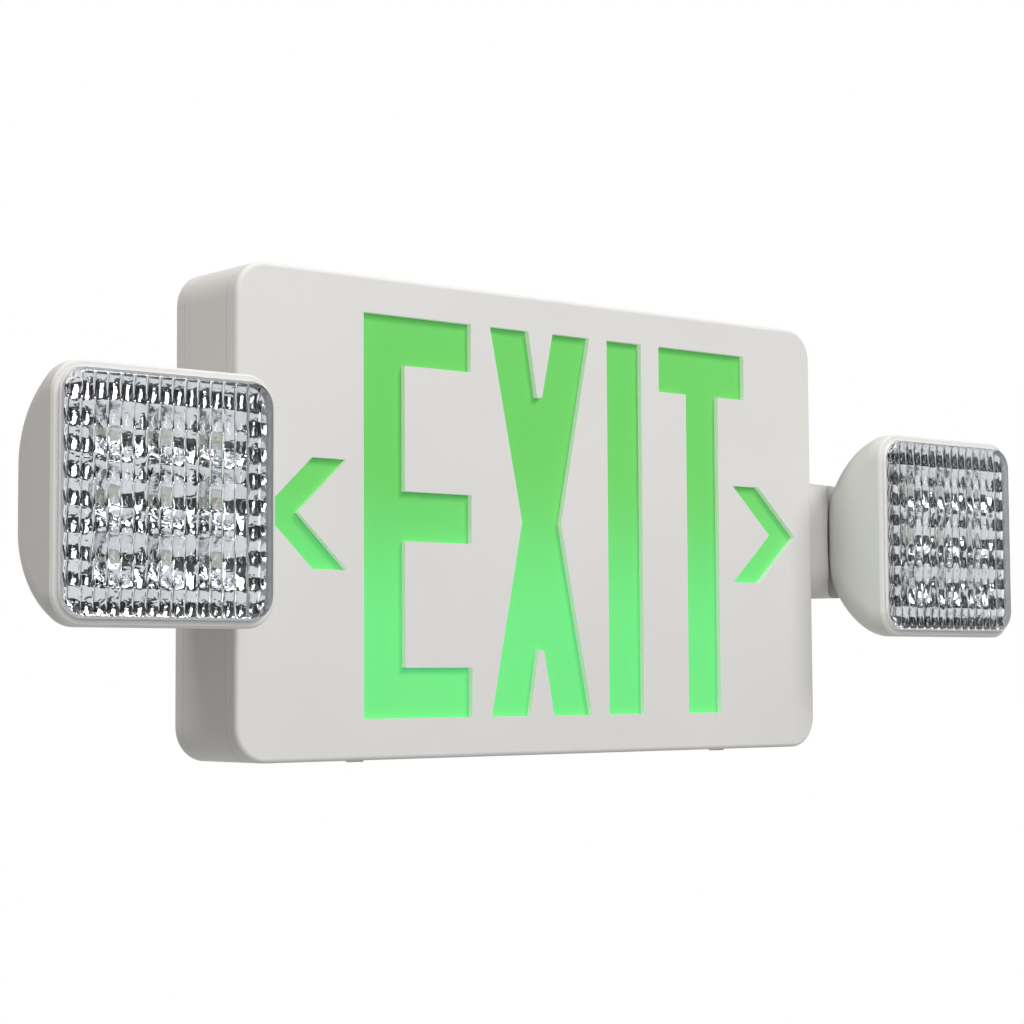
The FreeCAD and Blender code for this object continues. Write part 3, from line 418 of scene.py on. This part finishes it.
# %% Outlines of the cut-outs
TOP, FOOT = 76.7, -75.7
CHEVRON = [(139.2, 0.0), (117.1, 20.6), (101.3, 20.6), (123.4, 0.0), (101.3, -20.6), (117.1, -20.6)]
OUTLINES = {
    "e": [(-93.75, FOOT), (-41.9, FOOT), (-41.9, -56.7), (-74.3, -56.7), (-74.3, -9.0),
          (-41.9, -9.0), (-41.9, 10.0), (-74.3, 10.0), (-74.3, 57.8), (-41.9, 57.8),
          (-41.9, TOP), (-93.75, TOP)],
    "x": [(-32.3, TOP), (-16.3, 0.5), (-32.3, FOOT), (-12.5, FOOT), (-8.1, -49.9), (-5.3, -49.9),
          (-0.2, FOOT), (20.1, FOOT), (4.1, 0.5), (20.1, TOP), (0.25, TOP), (-5.5, 50.5),
          (-8.0, 50.5), (-12.55, TOP)],
    "i": [(29.45, FOOT), (48.7, FOOT), (48.7, TOP), (29.45, TOP)],
    "t": [(74.2, FOOT), (93.05, FOOT), (93.05, 57.7), (108.95, 57.7), (108.95, TOP),
          (58.6, TOP), (58.6, 57.7), (74.2, 57.7)],
    "chevron_right": CHEVRON,
    "chevron_left": [(-x, z) for x, z in CHEVRON],
}
print("cut-outs:", ", ".join(OUTLINES))


# %% Cut them out of the cover
def prism(shape, outline, back, front):
    """Add a prism with an outline in X and Z between two depths."""
    base = shape.faces.new([shape.verts.new((x * MM, back, z * MM)) for x, z in outline])
    made = bmesh.ops.extrude_face_region(shape, geom=[base])
    moved = new_of(bmesh.types.BMVert, made)
    bmesh.ops.translate(shape, vec=Vector((0, front - back, 0)), verts=moved)


def combine(piece, shape, operation):
    """Cut a shape out of a piece, or join it on."""
    bmesh.ops.recalc_face_normals(shape, faces=shape.faces)
    tool = add_object("tool", to_mesh("tool", shape))
    boolean = piece.modifiers.new("boolean", "BOOLEAN")
    boolean.object = tool
    boolean.operation = operation
    boolean.solver = "EXACT"
    apply_modifiers(piece)
    bpy.data.objects.remove(tool)


cutter = bmesh.new()
for outline in OUTLINES.values():
    prism(cutter, outline, front + 1.5 * COVER_SHEET, front - COVER_SHEET)

stencil = make_piece("stencil_face", cover, case_plastic, "sign", ["face_plate"])
combine(stencil, cutter, "DIFFERENCE")
print("face with cut-outs:", len(stencil.data.polygons), "faces")


# %% [markdown]
# The cover snaps into the housing with two latch tabs on its lower edge, which are small blocks joined
# on by a Boolean. Moulded edges are never knife sharp, so a narrow bevel rounds the edges that turn by a
# right angle. The walls and bevels of the cut-outs get a pale green material with a glow of its own:
# painted light for the green sheet's light on the walls, and a painted highlight that adds to the real
# light the bevels catch, for the thin bright line along the edges.

# %% Latch tabs and softened edges
LATCH_PLACE = 94.6 * MM
LATCH_WIDTH = 6 * MM
LATCH_PROUD = 0.6 * MM
LATCH_LENGTH = 3 * MM
LATCH_ROOT = 0.5 * MM
SOFT_EDGE = 0.35 * MM
for place in (-LATCH_PLACE, LATCH_PLACE):
    tab = block(Vector((place - LATCH_WIDTH / 2, seam - LATCH_LENGTH, housing_low.z - LATCH_PROUD)),
                Vector((place + LATCH_WIDTH / 2, seam, housing_low.z + LATCH_ROOT)))
    combine(stencil, tab, "UNION")
softened = stencil.modifiers.new("softened", "BEVEL")
softened.width = SOFT_EDGE
softened.segments = 2
softened.limit_method = "ANGLE"
softened.angle_limit = math.radians(50)
softened.use_clamp_overlap = True
apply_modifiers(stencil)
print("softened face:", len(stencil.data.polygons), "faces")


# %% Painted green glow and highlight on the walls and edges of the cut-outs
# The walls and bevels of the cut-outs get the pale green glowing material: painted light and a painted
# highlight.
stencil.data.materials.append(painted_glow_edge)
LETTER_REACH = Vector((0.141, 0, 0.078))
painted_glow_faces = 0
for face in stencil.data.polygons:
    within = abs(face.center.x) < LETTER_REACH.x and abs(face.center.z) < LETTER_REACH.z
    if within and abs(face.normal.y) < 0.98 and face.center.y < front + COVER_SHEET:
        face.material_index = 1
        painted_glow_faces += 1
shade(stencil, 35, weighted=True)
print("tinted faces:", painted_glow_faces)


# %% [markdown]
# ## Lamp optics
# Behind each lens sits a plated tray of nine round cups, one for each light. One cup is turned up from
# a circle, ring by ring, until its rim meets the square cell around it. Eight copies complete the tray,
# whose outer edge is then drawn out and folded back.

# %% A rounded square to fit things to
def to_rounded(point, half, corner):
    """Move a point of a square grid so that the square's edge becomes a rounded square."""
    straight = half - corner
    beyond = Vector((max(abs(point.x) - straight, 0), 0, max(abs(point.z) - straight, 0)))
    if beyond.x == 0 or beyond.z == 0:
        return point
    beyond *= max(beyond.x, beyond.z) / beyond.length
    x = math.copysign(straight + beyond.x, point.x)
    z = math.copysign(straight + beyond.z, point.z)
    return Vector((x, point.y, z))


def outward(point, half, corner):
    """The direction that points away from a rounded square at a point on its edge."""
    straight = half - corner
    beyond = Vector((max(abs(point.x) - straight, 0), 0, max(abs(point.z) - straight, 0)))
    beyond.x = math.copysign(beyond.x, point.x)
    beyond.z = math.copysign(beyond.z, point.z)
    return beyond.normalized()


def open_edges(shape):
    """The edges that have a face on one side only."""
    return [edge for edge in shape.edges if edge.is_boundary]


def draw_out(shape, rim, place, material=0):
    """Extrude a rim of edges, put each new point where place(point) says, and return the new rim."""
    made = bmesh.ops.extrude_edge_only(shape, edges=rim)
    for vert in new_of(bmesh.types.BMVert, made):
        vert.co = place(vert.co)
    for face in new_of(bmesh.types.BMFace, made):
        face.material_index = material
    return [edge for edge in new_of(bmesh.types.BMEdge, made) if edge.is_boundary]


print("a corner point moves to", to_rounded(Vector((10, 0, 10)), 10, 4))


# %% One cup and its cell
CUP_PITCH = 20.6 * MM
CUP_MOUTH = 10.1 * MM
CUP_BOTTOM = 3.3 * MM
CUP_RINGS = 7
TRAY_SLACK = 0.8 * MM
tray_low, tray_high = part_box("lamp_reflector_right")
cup_depth = tray_high.y - tray_low.y - TRAY_SLACK


def on_dish(radius):
    """A rule that moves points outwards to a radius of the cup's dish, which is a paraboloid."""
    rise = (radius ** 2 - CUP_BOTTOM ** 2) / (CUP_MOUTH ** 2 - CUP_BOTTOM ** 2)

    def place(point):
        across = Vector((point.x, 0, point.z)).normalized() * radius
        return Vector((across.x, -cup_depth * rise, across.z))
    return place


def to_cell(point):
    """The point where a line from the middle through a point leaves the square cell."""
    reach = CUP_PITCH / 2 / max(abs(point.x), abs(point.z))
    return Vector((point.x * reach, point.y, point.z * reach))


cup = bmesh.new()
bmesh.ops.create_circle(cup, segments=48, radius=CUP_BOTTOM)
bmesh.ops.rotate(cup, matrix=Matrix.Rotation(math.radians(90), 3, "X"), verts=cup.verts)
rim = list(cup.edges)
for ring in range(1, CUP_RINGS + 1):
    rim = draw_out(cup, rim, on_dish(CUP_BOTTOM + (CUP_MOUTH - CUP_BOTTOM) * ring / CUP_RINGS))
draw_out(cup, rim, to_cell)
print("one cup:", len(cup.faces), "faces")


# %% [markdown]
# The tray is nine cups side by side, with their shared edges merged. Its border grows to the rounded
# square that the lens covers, and is then folded back to the board.

# %% Nine cups make a tray
TRAY_CORNER = 7 * MM
tray_half = (tray_high.x - tray_low.x) / 2
grown = tray_half / (1.5 * CUP_PITCH)


def three_by_three(shape):
    """Repeat a shape around itself over three rows of three cells."""
    first = list(shape.verts) + list(shape.edges) + list(shape.faces)
    for row in (-1, 0, 1):
        for column in (-1, 0, 1):
            if row or column:
                moved = new_of(bmesh.types.BMVert, bmesh.ops.duplicate(shape, geom=first))
                place = Vector((column * CUP_PITCH, 0, row * CUP_PITCH))
                bmesh.ops.translate(shape, vec=place, verts=moved)


def to_tray_edge(point):
    """Out from the border of the nine cells to the tray's outline."""
    return to_rounded(Vector((point.x * grown, point.y, point.z * grown)), tray_half, TRAY_CORNER)


def fold_back(point):
    """Back from the outline to the board, with the corners a little further in."""
    moved = to_rounded(point, tray_half, TRAY_CORNER)
    return Vector((moved.x, moved.y + cup_depth, moved.z))


three_by_three(cup)
bmesh.ops.remove_doubles(cup, verts=cup.verts, dist=1e-5)
border = [edge for edge in open_edges(cup)
          if max(abs(edge.verts[0].co.x), abs(edge.verts[0].co.z)) > 1.4 * CUP_PITCH]
border = draw_out(cup, border, to_tray_edge)
draw_out(cup, border, fold_back)
bmesh.ops.recalc_face_normals(cup, faces=cup.faces)
print("tray:", len(cup.faces), "faces")


# %% [markdown]
# So far the tray is a surface without thickness. The real one is plastic about half a millimetre thick,
# which Solidify adds behind the cups, so that they keep their size.

# %% Put a tray in each head
TRAY_SHEET = 0.5 * MM
SIDES = ("right", "left")


def in_head(shape, side, reference):
    """A copy of a shape, centred on a CAD node of one head and starting at its back."""
    low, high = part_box(f"{reference}_{side}")
    moved = shape.copy()
    centre = Vector(((low.x + high.x) / 2, high.y, (low.z + high.z) / 2))
    bmesh.ops.translate(moved, vec=centre, verts=moved.verts)
    return moved


for side in SIDES:
    tray = make_piece(f"cup_tray_{side}", in_head(cup, side, "lamp_reflector"), finishes["chrome"],
                      f"{side}_head", [f"lamp_reflector_{side}"])
    wall = tray.modifiers.new("sheet", "SOLIDIFY")
    wall.thickness = TRAY_SHEET
    wall.offset = 1
    apply_modifiers(tray)
    shade(tray, 40)
    print(tray.name, len(tray.data.polygons), "faces")
cup.free()


# %% [markdown]
# Each cup has a light at its bottom: a small square package with a raised lens. A cube would do from
# afar, but a block with rounded corners and one face inset and raised costs little and catches the light.
# The lights sit on the same grid as the cups, so they are repeated by the same function.

# %% Light packages
PACKAGE = 2.2 * MM
PACKAGE_DEPTH = 1.0 * MM
PACKAGE_ROUND = 0.4 * MM
leds_low, leds_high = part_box("lamp_leds_right")
dome_rise = leds_high.y - leds_low.y - PACKAGE_DEPTH
package = block(Vector((-PACKAGE / 2, -PACKAGE_DEPTH, -PACKAGE / 2)),
                Vector((PACKAGE / 2, 0, PACKAGE / 2)))
round_edges(package, edges_along(package, 1), PACKAGE_ROUND, 3)
push_in(package, face_at(package, -PACKAGE_DEPTH), PACKAGE_ROUND, -dome_rise)
round_edges(package, edges_at(package, -PACKAGE_DEPTH - dome_rise), 0.7 * dome_rise, 4)
three_by_three(package)
for side in SIDES:
    packages = make_piece(f"light_packages_{side}", in_head(package, side, "lamp_leds"),
                          finishes["led_white"], f"{side}_head",
                          [f"lamp_leds_{side}"])
    shade(packages, 50)
    print(packages.name, len(packages.data.polygons), "faces")
package.free()


# %% [markdown]
# ## Ribbed lens
# The lens is a clear shallow pan. Its outside is smooth, and its inside carries upright flutes crossed
# by wider rows, which scatter the light and break up what lies behind them. A fine grid gets the relief
# point by point, its edge becomes a rounded square, and extrusions of that edge make the side wall,
# the rounded front edge and the smooth front.

# %% Relief of the lens
LENS_WALL = 1.4 * MM
LENS_SHEET = 1.6 * MM
LENS_CORNER = 9 * MM
LENS_EDGE = 2.0 * MM
FLUTES = 16
ROWS = 9
FLUTE_STEPS = 6
ROW_STEPS = 6
FLUTE_RELIEF = 0.85 * MM
ROW_RELIEF = 0.8 * MM
lens_low, lens_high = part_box("lamp_lens_right")
lens_half = (lens_high.x - lens_low.x) / 2
lens_thick = lens_high.y - lens_low.y
inner_half, inner_corner = lens_half - LENS_WALL, LENS_CORNER - LENS_WALL


def rib(place, pitch, rise):
    """Height of a row of ribs with a circular section, at a place across them."""
    across = ((place / pitch) % 1 - 0.5) * pitch
    radius = (pitch * pitch / 4 + rise * rise) / (2 * rise)
    return math.sqrt(radius * radius - across * across) - radius + rise


def relief(point):
    """How far the ribs stand out behind the lens's inner face."""
    flute = rib(point.x + inner_half, 2 * inner_half / FLUTES, FLUTE_RELIEF)
    return flute + rib(point.z + inner_half, 2 * inner_half / ROWS, ROW_RELIEF)


lens = bmesh.new()
bmesh.ops.create_grid(lens, x_segments=FLUTES * FLUTE_STEPS, y_segments=ROWS * ROW_STEPS,
                      size=inner_half)
bmesh.ops.rotate(lens, matrix=Matrix.Rotation(math.radians(90), 3, "X"), verts=lens.verts)
for vert in lens.verts:
    height = relief(vert.co)
    vert.co = to_rounded(vert.co, inner_half, inner_corner)
    vert.co.y = LENS_SHEET - lens_thick + height
print("relief:", len(lens.faces), "faces")


# %% [markdown]
# The wall goes up from the rim of the grid, and its edge turns over a quarter circle into the front.
# The wall and the flat rim are ground on the real lens, so they get the frosted finish with its painted
# glow.

# %% Wall, rounded edge and front of the lens
EDGE_MATERIAL = 1
TURNS = (22.5, 45, 67.5, 90)
FRONT_STEP = 0.4 * MM
front_edge = LENS_EDGE - lens_thick


def grow(distance, depth):
    """A rule that moves edge points outwards from the inner outline and to one depth."""
    def place(point):
        away = outward(point, inner_half, inner_corner)
        return Vector((point.x + away.x * distance, depth, point.z + away.z * distance))
    return place


rim = open_edges(lens)
for distance, depth in ((0, 0), (LENS_WALL, 0), (0, front_edge)):
    rim = draw_out(lens, rim, grow(distance, depth), EDGE_MATERIAL)
turned_in = 0
for angle in (math.radians(turn) for turn in TURNS):
    inward = LENS_EDGE * (1 - math.cos(angle)) - turned_in
    turned_in += inward
    rim = draw_out(lens, rim, grow(-inward, front_edge - LENS_EDGE * math.sin(angle)))
rim = draw_out(lens, rim, grow(-FRONT_STEP, -lens_thick))
bmesh.ops.holes_fill(lens, edges=rim, sides=0)
bmesh.ops.recalc_face_normals(lens, faces=lens.faces)
print("lens:", len(lens.faces), "faces, open edges", len(open_edges(lens)))


# %% Put a lens on each head
for side in SIDES:
    clear = make_piece(f"ribbed_lens_{side}", in_head(lens, side, "lamp_lens"),
                       finishes["clear_lens"], f"{side}_head",
                       [f"lamp_lens_{side}"])
    clear.data.materials.append(finishes["lens_edge"])
    shade(clear, 50)
    print(clear.name, len(clear.data.polygons), "faces")
lens.free()


# %% [markdown]
# ## Light
# A plain studio: one large soft key light from the upper right in front, a smaller one from the upper
# left that is slightly warm and lights the box's top and side, and a weak one that opens the shadow
# between the near head and the face. All are square area lights, because their soft edge suits plastic.

# %% Lamps
def area_light(name, place, target, size, power, colour=(1, 1, 1)):
    """A square soft light of some size and power, turned to face a target."""
    lamp = bpy.data.lights.new(name, "AREA")
    lamp.shape = "SQUARE"
    lamp.size = size
    lamp.energy = power
    lamp.color = colour
    item = add_object(name, lamp)
    item.location = place
    item.rotation_euler = (Vector(target) - Vector(place)).to_track_quat("-Z", "Y").to_euler()


WARM = (1.0, 0.95, 0.92)
area_light("key", (0.7, -1.6, 1.5), (0, 0, 0), 0.75, 25)
area_light("top_left", (-0.8, 0.1, 1.4), (-0.15, 0, 0.06), 0.5, 11.5, WARM)
area_light("inner_fill", (-0.2, -1.0, 0.4), (0.2, 0, 0), 0.5, 4)


# %% [markdown]
# ## Floor and backdrop
# The sign hangs on a wall, high over a pale floor. The world fills in the light from all round. Camera
# rays, mirrors and clear plastic see plain white instead of the world or the floor, which keeps the
# backdrop white without putting more light on the sign.

# %% A surface that is white to the eye alone
def white_to_the_eye(tree, shaded, output):
    """Show plain white to camera, mirror and glass rays, and the shaded surface to the rest."""
    path = tree.nodes.new("ShaderNodeLightPath")
    glossy = tree.nodes.new("ShaderNodeMath")
    either = tree.nodes.new("ShaderNodeMath")
    glossy.operation = either.operation = "MAXIMUM"
    white = tree.nodes.new("ShaderNodeBackground" if "World" in output.name else "ShaderNodeEmission")
    white.inputs["Color"].default_value = (1, 1, 1, 1)
    white.inputs["Strength"].default_value = 1.0
    mix = tree.nodes.new("ShaderNodeMixShader")
    tree.links.new(path.outputs["Is Camera Ray"], glossy.inputs[0])
    tree.links.new(path.outputs["Is Glossy Ray"], glossy.inputs[1])
    tree.links.new(glossy.outputs[0], either.inputs[0])
    tree.links.new(path.outputs["Is Transmission Ray"], either.inputs[1])
    tree.links.new(either.outputs[0], mix.inputs[0])
    tree.links.new(shaded, mix.inputs[1])
    tree.links.new(white.outputs[0], mix.inputs[2])
    tree.links.new(mix.outputs[0], output.inputs["Surface"])


print("ready to paint floor and world")


# %% World and floor
FLOOR_HEIGHT = -1.6
FLOOR_SIZE = 6
world = bpy.data.worlds.new("studio")
world.use_nodes = True
bpy.context.scene.world = world
sky = world.node_tree.nodes["Background"]
sky.inputs["Color"].default_value = (1.0, 0.985, 0.965, 1)
sky.inputs["Strength"].default_value = 0.31
white_to_the_eye(world.node_tree, sky.outputs[0], world.node_tree.nodes["World Output"])

floor_shape = bmesh.new()
bmesh.ops.create_grid(floor_shape, x_segments=1, y_segments=1, size=FLOOR_SIZE)
bmesh.ops.translate(floor_shape, vec=Vector((0, 0, FLOOR_HEIGHT)), verts=floor_shape.verts)
floor = add_object("floor", to_mesh("floor", floor_shape))
floor_paint, floor_tree, floor_shader = new_material("pale_floor")
floor_shader.inputs["Base Color"].default_value = (0.85, 0.85, 0.84, 1)
floor_shader.inputs["Roughness"].default_value = 0.8
white_to_the_eye(floor_tree, floor_shader.outputs[0], floor_tree.nodes["Material Output"])
floor.data.materials.append(floor_paint)
bpy.context.scene.view_settings.view_transform = "Standard"
print("floor at", FLOOR_HEIGHT)


# %% [markdown]
# ## Dark screen
# A mirror in an all-white room looks like white paint. A studio puts dark cards beside shiny things, so
# that their mirrors have something dark to show. Here it is one upright screen all round the sign, which
# only mirrors and clear plastic see: it is hidden from the camera and takes no light away.

# %% Dark screen for the mirrors
SCREEN_RADIUS = 4
SCREEN_HEIGHT = 3.5
screen_shape = bmesh.new()
bmesh.ops.create_circle(screen_shape, segments=48, radius=SCREEN_RADIUS)
made = bmesh.ops.extrude_edge_only(screen_shape, edges=screen_shape.edges)
bmesh.ops.translate(screen_shape, vec=Vector((0, 0, SCREEN_HEIGHT)),
                    verts=new_of(bmesh.types.BMVert, made))
screen = add_object("dark_screen", to_mesh("dark_screen", screen_shape))
screen.visible_camera = screen.visible_diffuse = screen.visible_shadow = False
screen_cloth, screen_tree, screen_shader = new_material("dark_cloth")
screen_shader.inputs["Base Color"].default_value = (0.07, 0.07, 0.078, 1)
screen_shader.inputs["Roughness"].default_value = 0.9
screen.data.materials.append(screen_cloth)
print("screen of", len(screen.data.polygons), "faces")
